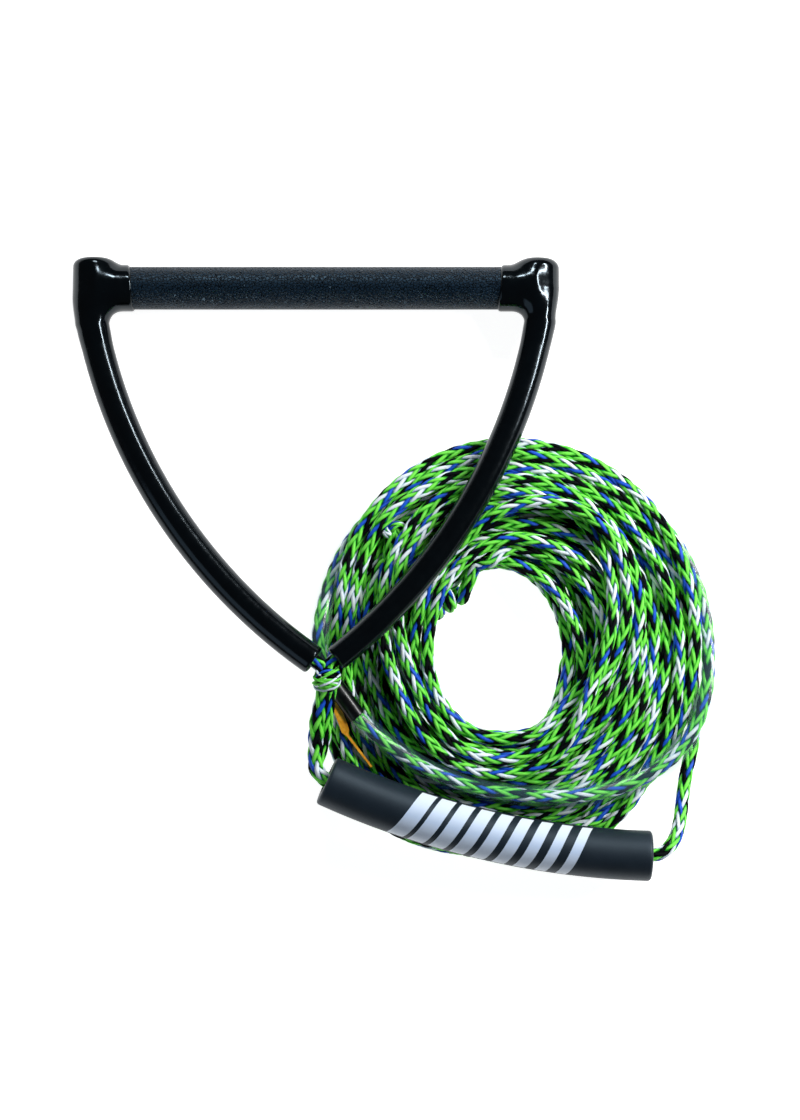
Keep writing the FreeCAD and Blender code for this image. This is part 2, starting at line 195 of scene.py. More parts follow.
def outline_point(outline, angle, side, corner):
    """A point of an outline, an ellipse with one squarer quarter."""
    c, s = np.cos(angle), np.sin(angle)
    squarer = (side * c > 0) & (s < 0)
    c = np.where(squarer, np.sign(c) * np.abs(c) ** corner, c)
    return np.stack([outline[0] + outline[2] * c, outline[1] + outline[3] * s], -1)


def on_ring(share, angle):
    """A point between the hole's outline and the coil's, half a rope in from both at 0 and 1."""
    inner = outline_point(COIL_INNER, angle, 1, HOLE_CORNER)
    outer = outline_point(COIL_OUTER, angle, -1, COIL_CORNER)
    width = np.linalg.norm(outer - inner, axis=-1)
    part = (ROPE_D / 2 + (width - ROPE_D) * share) / width
    return inner + (outer - inner) * part[:, None]


def wound_turns(rng):
    """The turns as they are laid, before they settle, with how many turns in each point is."""
    turns = sum(group[0] for group in GROUPS)
    last = END_ANGLE + 2 * math.pi * (turns - 1)
    angle = np.linspace(START_ANGLE, last, int((last - START_ANGLE) * MEAN_R / TURN_STEP))
    turn = (angle - START_ANGLE) / (2 * math.pi)
    shares, heights = [], []
    for count, height, first, end in GROUPS:
        for k in range(count):
            shares.append(np.array(first) + (np.array(end) - np.array(first)) * k / max(count - 1, 1))
            heights.append(height)
    shares, heights = np.array(shares + shares[-1:]), np.array(heights + [LAST_HEIGHT])
    k = np.minimum(turn.astype(int), turns - 1)
    change = ease((turn - k - CHANGE_FROM) / CHANGE_TAKES)
    eighth = angle / (math.pi / 4)
    i = np.floor(eighth).astype(int)
    g = ease(eighth - i)

    def share_at(which):
        return shares[which, i % 8] * (1 - g) + shares[which, (i + 1) % 8] * g

    share = share_at(k) * (1 - change) + share_at(k + 1) * change
    height = heights[k] * (1 - change) + heights[k + 1] * change
    wander = sum(rng.normal() * np.sin(angle * (WAVE_FIRST + WAVE_MORE * w) + rng.uniform(0, ANY_PHASE))
                 for w in range(1, WAVES + 1))
    share = np.clip(share + WANDER * wander * np.clip(turn / STEADY_START, 0, 1), 0, 1)
    return np.column_stack([on_ring(share, angle), height]), turn, angle


def nearest(points, line):
    """Each point's distance in plan from a line's points, and the nearest one."""
    d = ((points[:, None, :2] - line[None, :, :2]) ** 2).sum(2)
    k = d.argmin(1)
    return np.sqrt(d[np.arange(len(points)), k]), k


# The tie: how far along it and round the coil it draws turns in, what rounds a tied turn to its slot, how
# far beside it the turns before them stay, and how near and how high the turns after them pass over it
TIE_REACH, TIE_FADE, TIE_ANGLE, TIE_SPREAD = 26, 5, math.radians(140), 1.1
SLOT_SHIFT, BESIDE_TIE, OVER_TIE_WITHIN, OVER_TIE = 0.87, 11, 9, 33.0
# The hose: low turns stay inside it where it is low, at the coil's two sides. Elsewhere turns pass over
# it where it is low and under it where it is high, this far off and from this near.
HOSE_LOW, LOW_TURN, HOSE_ASIDE = 14, 10, 104
HOSE_OVER, HOSE_CLEAR, HOSE_NEAR, HOSE_FADE = 16, 12, 17, 8
# The float: how far under its axis turns pass, and how near they are when they start to go down
FLOAT_CLEAR, FLOAT_NEAR, FLOAT_FADE, LOWEST = 22.5, 26, 6, 4.8
# The solid pieces that turns settle on: the step between their balls, and how far off turns stay
SOLID_STEP, ARM_GAP, FLOAT_GAP, TAIL_KNOT_R = 4.0, 0.8, 0.4, 7.0
HOSE_PATH = evenly(np.array(HOOP_ROUTE + HOOP_ROUTE[:1]), SOLID_STEP)
FLOAT_PATH = float_line(np.linspace(0, 1, 90))
# The first points of the turns, which the lead takes the place of
LEAD_TAKES = 4


def give_way(points, turn, angle):
    """Takes the laid turns into the tie or over it, over or under the hose and under the float."""
    rel = points - TIE_AT
    along, across = rel @ TIE_ALONG, rel @ TIE_ACROSS
    near = 1 / (1 + np.exp((np.abs(along) - TIE_REACH) / TIE_FADE))
    side = np.abs((angle - TIE_ANGLE + math.pi) % (2 * math.pi) - math.pi) < TIE_SPREAD
    inside = (turn > TIED_TURNS[0]) & (turn < TIED_TURNS[1]) & side
    slot = np.clip(np.round(turn - TIED_TURNS[0] - SLOT_SHIFT), 0, 2) - 1
    k = near * inside
    points[:, :2] += np.outer(k * (slot * ROPE_D - across), TIE_ACROSS[:2])
    points[:, 2] += k * (TIE_AT[2] - points[:, 2])
    early = ~inside & side & (turn < TIED_TURNS[1])
    out = np.maximum(across, TIE_HALF[0] + BESIDE_TIE)
    points[:, :2] += np.outer(near * early * (out - across), TIE_ACROSS[:2])
    over = ~inside & side & (turn >= TIED_TURNS[1]) & (np.abs(across) < TIE_HALF[0] + OVER_TIE_WITHIN)
    raised = points[:, 2] * (1 - near) + near * OVER_TIE
    points[:, 2] = np.where(over, np.maximum(points[:, 2], raised), points[:, 2])
    d, k = nearest(points, HOSE_PATH)
    level = HOSE_PATH[k, 2]
    aside = np.abs(HOSE_PATH[k, 0] - COIL_OUTER[0]) > HOSE_ASIDE
    low = (level < HOSE_LOW) & aside & (points[:, 2] < LOW_TURN) & (d < HOSE_R + ROPE_D / 2)
    inward = HOSE_PATH[k][low, :2] - points[low, :2]
    middle = unit(np.array(COIL_OUTER[:2]) - HOSE_PATH[k][low, :2])
    points[low, :2] += inward + middle * (HOSE_R + ROPE_D / 2)
    d, k = nearest(points, HOSE_PATH)
    w = np.clip((HOSE_NEAR - d) / HOSE_FADE, 0, 1) * ~low
    beside = np.where(level < HOSE_OVER, np.maximum(points[:, 2], level + HOSE_CLEAR),
                      np.minimum(points[:, 2], np.maximum(level - HOSE_CLEAR, LOWEST)))
    points[:, 2] += w * (beside - points[:, 2])
    d, k = nearest(points, FLOAT_PATH)
    top = FLOAT_PATH[k, 2] - np.sqrt(np.maximum(FLOAT_CLEAR ** 2 - np.minimum(d, FLOAT_CLEAR) ** 2, 0))
    w = np.clip((FLOAT_NEAR - d) / FLOAT_FADE, 0, 1) * (points[:, 2] > top)
    points[:, 2] += w * (np.maximum(top, LOWEST) - points[:, 2])
    return points


def tie_wraps():
    """The tail's wraps round the tied turns."""
    a = np.linspace(0, 2 * math.pi * TIE_TURNS, int(TIE_TURNS * WRAP_POINTS) + 1)
    flat = TIE_HALF[0] - TIE_HALF[1]
    c = -np.cos(a)
    x = flat * np.tanh(TIE_SQUARE * c) / math.tanh(TIE_SQUARE) + TIE_HALF[1] * c
    y = (a / (2 * math.pi) - TIE_TURNS / 2) * TIE_PITCH
    z = -TIE_HALF[1] * np.sin(a)
    return TIE_AT + np.outer(x, TIE_ACROSS) + np.outer(y, TIE_ALONG) + np.outer(z, [0, 0, 1.0])


def close_pairs(a, b, reach, skip=None):
    """Pairs of points nearer than reach, without those less than skip apart along one line."""
    a, b = a.astype(np.float32), b.astype(np.float32)
    sa, sb = (a * a).sum(1), (b * b).sum(1)
    first, second = [], []
    for at in range(0, len(a), 512):
        d2 = sa[at:at + 512, None] + sb[None] - 2 * a[at:at + 512] @ b.T
        i, j = np.nonzero(d2 < reach * reach)
        i = i + at
        if skip is not None:
            keep = j - i > skip
            i, j = i[keep], j[keep]
        first.append(i)
        second.append(j)
    return np.concatenate(first), np.concatenate(second)


def averaged(values, half):
    """A running mean."""
    width = 2 * half + 1
    return np.convolve(np.pad(values, half, mode="edge"), np.ones(width) / width, mode="valid")


def push_apart(p, i, j, gap, free, n):
    """Moves pairs of points that are nearer than gap half of the way apart each."""
    v = p[i] - p[j]
    d = np.linalg.norm(v, axis=1)
    m = d < gap
    i, j, v, d = i[m], j[m], v[m], d[m]
    v = v * ((gap - d) / np.maximum(d, 1e-6) / np.maximum(free[i] + free[j], 1))[:, None]
    count = np.maximum(np.bincount(i, minlength=n) + np.bincount(j, minlength=n), 1)
    for k in range(3):
        p[:, k] += EXTRA_PUSH * (np.bincount(i, v[:, k], n) - np.bincount(j, v[:, k], n)) / count * free


def push_out(p, i, centres, gap, free, n):
    """Moves points out of the balls that stand for the solid pieces."""
    v = p[i] - centres
    d = np.linalg.norm(v, axis=1)
    m = d < gap
    i, v, d = i[m], v[m], d[m]
    v = v * ((gap[m] - d) / np.maximum(d, 1e-6))[:, None]
    count = np.maximum(np.bincount(i, minlength=n), 1)
    for k in range(3):
        p[:, k] += np.bincount(i, v[:, k], n) / count * free


def keep_in_ring(p, outline, more, outside, free):
    """Keeps points inside the coil's outline, or outside the hole's."""
    half = np.array([outline[2] + more, outline[3] + more])
    v = (p[:, :2] - np.array(outline[:2])) / half
    side, corner = (1, HOLE_CORNER) if outside else (-1, COIL_CORNER)
    squarer = (side * v[:, 0] > 0) & (v[:, 1] < 0)
    power = np.where(squarer, 2 / corner, 2.0)
    e = np.maximum(np.sqrt(np.abs(v[:, 0]) ** power + v[:, 1] ** 2), 1e-6)
    wrong = ((e < 1) if outside else (e > 1)) & (free > 0)
    v[wrong] /= e[wrong][:, None]
    p[:, :2] = v * half + np.array(outline[:2])


def keep_lengths(p, rest, free):
    """Brings each step back to its length, every other step at a time."""
    for odd in (0, 1):
        a, b = p[odd:-1:2], p[odd + 1::2]
        n = min(len(a), len(b))
        fa, fb = free[odd:-1:2][:n], free[odd + 1::2][:n]
        v = b[:n] - a[:n]
        d = np.linalg.norm(v, axis=1)
        wrong = (d - rest[odd::2][:n]) / np.maximum(d, 1e-6)
        v = v * (wrong / np.maximum(fa + fb, 1) * LENGTH_PULL)[:, None]
        p[odd:-1:2][:n] += v * fa[:, None]
        p[odd + 1::2][:n] -= v * fb[:, None]


# The settled turns' spacing, the rounds, and the share of them in which the balls grow to full size
REST_D, SETTLE_ROUNDS, GROW_SHARE = 9.3, 420, 0.55
# The rounds between searches for close pairs and between changes of the chain's own lengths
PAIR_ROUNDS, LENGTH_ROUNDS = 7, 15
# How fast the turns fall, at first and in the last fifth
FALL, LAST_FALL, LAST_FROM = 0.16, 0.03, 0.8
# How strongly bends are evened out over near, far and tightly bent neighbours, and twice how far a
# tightly bent point is from the middle of its second neighbours
STIFF_NEAR, STIFF_FAR, STIFF_TIGHT, STEP_BEND = 0.2, 0.08, 0.12, 8.0
AVERAGE_LENGTHS, AVERAGE_BENDS, LEAST_LENGTH, MOST_LENGTH = 12, 7, 0.93, 1.03
HOLE_MARGIN, EXTRA_PUSH, LENGTH_PULL = 3.5, 1.4, 0.9


def settle(p, pinned, solid, solid_gap):
    """Lets the turns settle on one another and round the solid pieces, as a chain of balls."""
    n = len(p)
    free = (~pinned).astype(float)
    fixed = p[pinned].copy()
    first = averaged(lengths(p), AVERAGE_LENGTHS)
    held = pinned[:-1] | pinned[1:]
    first[held] = lengths(p)[held]
    rest = first.copy()
    bend = np.zeros_like(p)
    bend[1:-1] = p[:-2] + p[2:] - 2 * p[1:-1]
    bend = np.column_stack([averaged(bend[:, 0], AVERAGE_BENDS), averaged(bend[:, 1], AVERAGE_BENDS),
                            np.zeros(n)])
    for r in range(SETTLE_ROUNDS):
        gap = REST_D * min(1.0, 0.5 + 0.5 * r / (SETTLE_ROUNDS * GROW_SHARE))
        if r % PAIR_ROUNDS == 0:
            i, j = close_pairs(p, p, REST_D * 1.3, skip=4)
            k, s = close_pairs(p, solid, float(solid_gap.max()) + 4)
        p[:, 2] -= (FALL if r < SETTLE_ROUNDS * LAST_FROM else LAST_FALL) * free
        for reach in (2, 4):
            lap = p[:-2 * reach] + p[2 * reach:] - 2 * p[reach:-reach]
            stand = lap - bend[reach:-reach] * reach ** 2
            p[reach:-reach] += STIFF_FAR * stand * free[reach:-reach, None]
        lap = p[:-4] + p[4:] - 2 * p[2:-2]
        tight = (np.linalg.norm(lap, axis=1) > STEP_BEND) * free[2:-2]
        p[2:-2] += STIFF_TIGHT * lap * tight[:, None]
        if r % LENGTH_ROUNDS == LENGTH_ROUNDS - 1:
            rest = np.clip((rest + averaged(lengths(p), AVERAGE_LENGTHS)) / 2, LEAST_LENGTH * first,
                           MOST_LENGTH * first)
        for _ in range(3):
            p[1:-1] += STIFF_NEAR * (p[:-2] + p[2:] - 2 * p[1:-1] - bend[1:-1]) * free[1:-1, None]
            push_apart(p, i, j, gap, free, n)
            push_out(p, k, solid[s], solid_gap[s], free, n)
            p[:, 2] = np.maximum(p[:, 2], ROPE_D / 2)
            keep_in_ring(p, COIL_OUTER, -ROPE_D / 2, False, free)
            keep_in_ring(p, COIL_INNER, HOLE_MARGIN, True, free)
            keep_lengths(p, rest, free)
            p[pinned] = fixed
    return p


def coil_route():
    """The settled turns, the tie's wraps and the tail's end, which follow on from the lead."""
    rng = np.random.default_rng(COIL_SEED)
    laid, turn, angle = wound_turns(rng)
    laid = give_way(laid, turn, angle)[LEAD_TAKES:]
    lead = np.array(LEAD_ROUTE[-3:])
    wraps = tie_wraps()
    p = np.concatenate([lead, laid, TIE_ROUTE_IN, wraps, TAIL_ROUTE, [TAIL_KNOT_AT]])
    pinned = np.ones(len(p), bool)
    pinned[len(lead):len(lead) + len(laid)] = False
    solids = []
    for points, (root_r, tip_r) in ((LEFT_ARC, LEFT_ARM_R), (RIGHT_ARC, RIGHT_ARM_R)):
        line = evenly(arm_line(points), SOLID_STEP)
        solids.append((line, np.linspace(root_r, tip_r, len(line)) + ARM_GAP))
    solids.append((HOSE_PATH, np.full(len(HOSE_PATH), HOSE_R)))
    solids.append((FLOAT_PATH, np.full(len(FLOAT_PATH), FLOAT_R + FLOAT_GAP)))
    solids.append((TAIL_KNOT_AT[None], np.array([TAIL_KNOT_R])))
    solid = np.concatenate([s[0] for s in solids])
    gap = np.concatenate([s[1] for s in solids]) + REST_D / 2
    return settle(p, pinned, solid, gap)[len(lead):]


# ---------------------------------------------------------------- materials


def shader(name, **values):
    """A material with one Principled shader, its constants on the shader's own sockets."""
    made = bpy.data.materials.new(name)
    made.use_nodes = True
    tree = made.node_tree
    tree.nodes.clear()
    out = tree.nodes.new("ShaderNodeOutputMaterial")
    bsdf = tree.nodes.new("ShaderNodeBsdfPrincipled")
    tree.links.new(bsdf.outputs[0], out.inputs[0])
    for socket, value in values.items():
        bsdf.inputs[socket.replace("_", " ")].default_value = value
    return made, tree, bsdf


def add(tree, kind, sockets=None, **settings):
    """A node with its settings, and its sockets set or linked."""
    made = tree.nodes.new("ShaderNode" + kind)
    for key, value in settings.items():
        setattr(made, key, value)
    for key, value in (sockets or {}).items():
        if isinstance(value, bpy.types.NodeSocket):
            tree.links.new(value, made.inputs[key])
        else:
            made.inputs[key].default_value = value
    return made


def ramp(tree, fac, stops):
    """A colour ramp's colour output."""
    made = add(tree, "ValToRGB", {0: fac})
    elements = made.color_ramp.elements
    while len(elements) < len(stops):
        elements.new(0.5)
    for element, (place, colour) in zip(elements, stops):
        element.position = place
        element.color = (*colour, 1)
    return made.outputs[0]


def math_node(tree, operation, a, b=0.0, c=0.0):
    """A Math node's output."""
    return add(tree, "Math", {0: a, 1: b, 2: c}, operation=operation).outputs[0]


def grain(tree, scale, detail=3.0, rough=0.5, vector=None):
    """Noise over the object's own coordinates."""
    if vector is None:
        vector = add(tree, "TexCoord").outputs["Object"]
    return add(tree, "TexNoise", {"Vector": vector, "Scale": scale, "Detail": detail,
                                  "Roughness": rough}).outputs[0]


def coloured(tree, bsdf, fac, *stops):
    """Links a colour ramp to the shader."""
    tree.links.new(ramp(tree, fac, stops), bsdf.inputs["Base Color"])


def roughened(tree, bsdf, fac, low, high, smooth, rough):
    """Links a roughness that goes from smooth to rough as fac goes from low to high."""
    out = add(tree, "MapRange", {0: fac, 1: low, 2: high, 3: smooth, 4: rough}).outputs[0]
    tree.links.new(out, bsdf.inputs["Roughness"])


def bumped(tree, bsdf, height, distance, strength):
    """Links a bump to the shader."""
    bump = add(tree, "Bump", {"Height": height, "Distance": distance, "Strength": strength})
    tree.links.new(bump.outputs[0], bsdf.inputs["Normal"])


def strand_material(name, dark, mid, light, rough, shine):
    """One colour of polyethylene yarn: fine filaments along it, and light and shade painted on from a point
    attribute: a painted highlight on its top and outer face, painted shade at its edges and where it passes
    under.
    """
    made, tree, bsdf = shader(name, Roughness=rough, Specular_IOR_Level=shine)
    uv = add(tree, "UVMap", uv_map="UVMap").outputs[0]
    parts = add(tree, "SeparateXYZ", {0: uv})
    across = math_node(tree, "MULTIPLY", parts.outputs[0], 22.0)
    along = math_node(tree, "MULTIPLY", parts.outputs[1], 1.1)
    vector = add(tree, "CombineXYZ", {0: across, 1: along}).outputs[0]
    fibres = grain(tree, 1.0, 2.0, 0.6, vector)
    # a point attribute of painted light and shade, high where the yarn lies on top and low at its edges and
    # where it passes under
    painted_light = add(tree, "Attribute", attribute_name="painted_light").outputs["Fac"]
    mixed = math_node(tree, "MULTIPLY_ADD", fibres, 0.40, math_node(tree, "SUBTRACT", painted_light, 0.20))
    # the ramp's dark colour is painted shade and its light colour a painted highlight; the fibre noise is
    # the yarn's own grain
    coloured(tree, bsdf, mixed, (0.16, dark), (0.52, mid), (0.92, light))
    bumped(tree, bsdf, fibres, 0.00035, 0.7)
    return made


# each yarn colour as dark, mid and light: the dark is painted shade, the light a painted highlight
STRANDS = {
    "green": strand_material("yarn_green", (0.001, 0.036, 0.003), (0.013, 0.39, 0.011),
                             (0.21, 0.88, 0.09), 0.42, 0.2),
    "white": strand_material("yarn_white", (0.07, 0.13, 0.19), (0.50, 0.66, 0.78),
                             (0.90, 0.97, 1.0), 0.45, 0.2),
    "black": strand_material("yarn_black", (0.0002, 0.0004, 0.0005), (0.0004, 0.0008, 0.001),
                             (0.0022, 0.004, 0.005), 0.6, 0.06),
    "blue": strand_material("yarn_blue", (0.0008, 0.006, 0.08), (0.002, 0.032, 0.34),
                            (0.012, 0.10, 0.64), 0.45, 0.2),
}


def shade_core_material():
    """The middle of a braid, seen only between its yarns, coloured near black as painted shade."""
    made, tree, bsdf = shader("rope_core", Roughness=0.9, Specular_IOR_Level=0.05)
    coloured(tree, bsdf, grain(tree, 900.0), (0.3, (0.0004, 0.0012, 0.0008)), (0.7, (0.001, 0.004, 0.002)))
    return made


def gloss_black(name, rough, bump):
    """Dipped or coated gloss black, with a faint orange peel."""
    made, tree, bsdf = shader(name, Specular_IOR_Level=0.5, IOR=1.4, Specular_Tint=(0.75, 0.9, 1.0, 1))
    soft = grain(tree, 90.0, 2.0)
    coloured(tree, bsdf, soft, (0.3, (0.0003, 0.0008, 0.0014)), (0.7, (0.0006, 0.0014, 0.0022)))
    roughened(tree, bsdf, grain(tree, 240.0, 3.0), 0.3, 0.7, rough, rough + 0.07)
    bumped(tree, bsdf, soft, bump, 0.5)
    return made


def grip_material():
    """Moulded rubber with a fine leather-like pebbled grain, the grooves between the bumps darker as
    painted shade and the bumps' tops lighter.
    """
    made, tree, bsdf = shader("grip_rubber", Specular_IOR_Level=0.30, Specular_Tint=(0.5, 0.78, 1.0, 1))
    place = add(tree, "TexCoord").outputs["Object"]
    cells = add(tree, "TexVoronoi", {"Vector": place, "Scale": 470.0, "Randomness": 0.9},
                feature="DISTANCE_TO_EDGE").outputs["Distance"]
    pebble_and_groove_shade = add(tree, "MapRange", {0: cells, 1: 0.0, 2: 0.16, 3: 0.0, 4: 1.0}).outputs[0]
    worn = grain(tree, 45.0, 4.0)
    # painted shade: darker in the grooves between the bumps and lighter on their tops; the worn noise
    # varies the colour at random
    groove_shade_and_wear = math_node(tree, "MULTIPLY_ADD", pebble_and_groove_shade, 0.5, math_node(tree, "MULTIPLY", worn, 0.5))
    coloured(tree, bsdf, groove_shade_and_wear, (0.15, (0.0003, 0.002, 0.005)), (0.85, (0.0044, 0.013, 0.026)))
    roughened(tree, bsdf, worn, 0.3, 0.7, 0.36, 0.46)
    bumped(tree, bsdf, pebble_and_groove_shade, 0.0020, 1.0)
    return made


def float_material():
    """Closed-cell foam, satin, with a plain printed band of slanted bars."""
    made, tree, bsdf = shader("float_foam", Specular_IOR_Level=0.45, Specular_Tint=(0.7, 0.88, 1.0, 1))
    uv = add(tree, "UVMap", uv_map="UVMap").outputs[0]
    parts = add(tree, "SeparateXYZ", {0: uv})
    u, v = parts.outputs[1], parts.outputs[0]
    cells = grain(tree, 1500.0, 2.0)
    foam = ramp(tree, grain(tree, 60.0, 4.0), [(0.3, (0.005, 0.0095, 0.016)), (0.7, (0.008, 0.014, 0.023))])
    # slanted bars that get narrower towards the right
    slant = math_node(tree, "MULTIPLY_ADD", v, -0.16, u)
    place = add(tree, "MapRange", {0: slant, 1: 0.25, 2: 0.815, 3: 0.0, 4: 9.0}, clamp=False).outputs[0]
    cycle = math_node(tree, "FRACT", place)
    wide = add(tree, "MapRange", {0: place, 1: 0.0, 2: 9.0, 3: 0.80, 4: 0.48}).outputs[0]
    bar = math_node(tree, "LESS_THAN", cycle, wide)
    inside = math_node(tree, "MULTIPLY", math_node(tree, "GREATER_THAN", place, 0.0),
                       math_node(tree, "LESS_THAN", place, 8.55))
    height = math_node(tree, "LESS_THAN", math_node(tree, "ABSOLUTE", v), 0.205)
    print_mask = math_node(tree, "MULTIPLY", bar, math_node(tree, "MULTIPLY", inside, height))
    tint = ramp(tree, math_node(tree, "MULTIPLY_ADD", v, 1.9, 0.5),
                [(0.05, (0.86, 0.89, 0.93)), (0.5, (0.50, 0.62, 0.82)), (0.95, (0.82, 0.87, 0.92))])
    mixed = add(tree, "Mix", {0: print_mask, 6: foam, 7: tint}, data_type="RGBA")
    tree.links.new(mixed.outputs[2], bsdf.inputs["Base Color"])
    roughened(tree, bsdf, cells, 0.2, 0.8, 0.42, 0.58)
    bumped(tree, bsdf, cells, 0.00012, 0.5)
    return made


def plain(name, dark, light, rough, scale, bump, **values):
    """A moulded or drawn material with a little variation."""
    made, tree, bsdf = shader(name, **values)
    noise = grain(tree, scale, 3.0)
    coloured(tree, bsdf, noise, (0.3, dark), (0.7, light))
    roughened(tree, bsdf, noise, 0.3, 0.7, rough, rough + 0.12)
    bumped(tree, bsdf, noise, bump, 0.5)
    return made


# the braid's near-black middle is painted shade between the yarns
CORE_SHADE = shade_core_material()
ARM_BLACK = gloss_black("arm_coating", 0.13, 0.0002)
VINYL = gloss_black("dipped_vinyl", 0.09, 0.0005)
GRIP = grip_material()
FOAM = float_material()
COUPLING = plain("coupling_rubber", (0.0006, 0.001, 0.0016), (0.0014, 0.002, 0.003), 0.24, 160.0, 0.0002,
                 Specular_IOR_Level=0.35)
NYLON = plain("bush_nylon", (0.012, 0.013, 0.015), (0.03, 0.032, 0.036), 0.4, 300.0, 0.0001)
ALUMINIUM = plain("tube_aluminium", (0.62, 0.63, 0.65), (0.75, 0.76, 0.78), 0.25, 500.0, 0.00005,
                  Metallic=1.0)
AMBER = plain("amber_plastic", (0.62, 0.25, 0.012), (0.85, 0.42, 0.03), 0.22, 220.0, 0.0002,
              Subsurface_Weight=0.15, Subsurface_Radius=(0.002, 0.001, 0.0005), Coat_Weight=0.4)
HOSE = plain("clear_hose", (0.16, 0.42, 0.50), (0.30, 0.58, 0.66), 0.13, 70.0, 0.0010, Alpha=0.075,
             IOR=2.2, Specular_IOR_Level=1.0)

# ---------------------------------------------------------------- meshes


def finished(mesh, name, material):
    """A mesh as a smooth object of the scene."""
    mesh.polygons.foreach_set("use_smooth", np.ones(len(mesh.polygons), bool))
    mesh.materials.append(material)
    mesh.update()
    made = bpy.data.objects.new(name, mesh)
    bpy.context.scene.collection.objects.link(made)
    return made


def skin(name, rings, material, along=None, around=None, painted_light=None, closed=True):
    """A mesh through rings of points, with caps at its ends, or its last ring joined to its first."""
    n, m = rings.shape[:2]
    mesh = bpy.data.meshes.new(name)
    i = np.arange(n - closed)[:, None] * m
    j = np.arange(m)[None]
    k, further = (j + 1) % m, (i + m) % (n * m)
    faces = np.stack([i + j, i + k, further + k, further + j], -1).reshape(-1, 4).tolist()
    if closed:
        faces += [list(range(m))[::-1], [(n - 1) * m + q for q in range(m)]]
    mesh.from_pydata(rings.reshape(-1, 3).astype(float), [], faces)
    if along is not None:
        uv = np.zeros((len(mesh.loops), 2), np.float32)
        grid = np.zeros((n - 1, m, 4, 2), np.float32)
        grid[:, :, [0, 3], 0] = around[:m, None]
        grid[:, :, [1, 2], 0] = around[1:m + 1, None]
        grid[:, :, :2, 1] = along[:-1, None, None]
        grid[:, :, 2:, 1] = along[1:, None, None]
        uv[:(n - 1) * m * 4] = grid.reshape(-1, 2)
        mesh.uv_layers.new(name="UVMap").data.foreach_set("uv", uv.ravel())
    # the yarns' painted light and shade, as a point attribute
    if painted_light is not None:
        mesh.attributes.new("painted_light", "FLOAT", "POINT").data.foreach_set(
            "value", painted_light.reshape(-1).astype(np.float32))
    return finished(mesh, name, material)


def frames(line):
    """A line's directions, and two directions across it that turn as little as they can."""
    t = unit(np.gradient(line, axis=0))
    a = np.zeros_like(t)
    guess = np.cross(t[0], [0.3, 0.2, 1.0])
    a[0] = guess / np.linalg.norm(guess)
    for i in range(1, len(t)):
        v = a[i - 1] - t[i] * (a[i - 1] @ t[i])
        a[i] = v / math.sqrt(v @ v)
    return t, a, np.cross(t, a)


def rim(a, b, angle):
    """Directions round a line, from the two across it."""
    return a[:, None] * np.cos(angle)[None, :, None] + b[:, None] * np.sin(angle)[None, :, None]


def tube(name, line, radius, sides, material, ball=None):
    """A round tube along a line. radius may change along it. One wound on a ball gets painted light and
    shade: lighter on its side away from the ball's middle, darker towards it.
    """
    t, a, b = frames(line)
    angle = np.linspace(0, 2 * math.pi, sides, endpoint=False)
    r = np.broadcast_to(radius, len(line))[:, None, None]
    rings = line[:, None] + r * rim(a, b, angle)
    painted_light = None
    if ball is not None:
        # painted light and shade, lighter away from the ball's middle and darker towards it
        out = np.linalg.norm(rings - ball, axis=2) - np.linalg.norm(line - ball, axis=1)[:, None]
        painted_light = np.clip(0.40 + 0.45 * out / r[:, :, 0], 0, 1)
    return skin(name, rings, material, along=stations(line) * UV_PER_METRE,
                around=np.linspace(0, 1, sides + 1), painted_light=painted_light)


BRAID_PITCH = 0.088
YARN_STEP = 0.0018
YARN_SIDES = 7
# A yarn in millimetres on a rope of full size: how far its middle is from the rope's, how much further
# where it passes over, and its half width, more where it passes over, and half thickness
YARN_OUT, YARN_RISE, YARN_HALF_WIDE, YARN_WIDER, YARN_HALF_THICK = 3.40, 0.52, 1.24, 0.20, 0.82
# How boxy a yarn's section is: 1 is an ellipse
YARN_BOX = 0.8
UV_PER_METRE = 100
CORE_SHARE = 0.72
TO_RIGHT = ("green", "white", "green", "black", "green", "blue", "green", "white")
TO_LEFT = ("green", "black", "green", "white", "blue", "green", "black", "green")
CORE_SIDES = 8


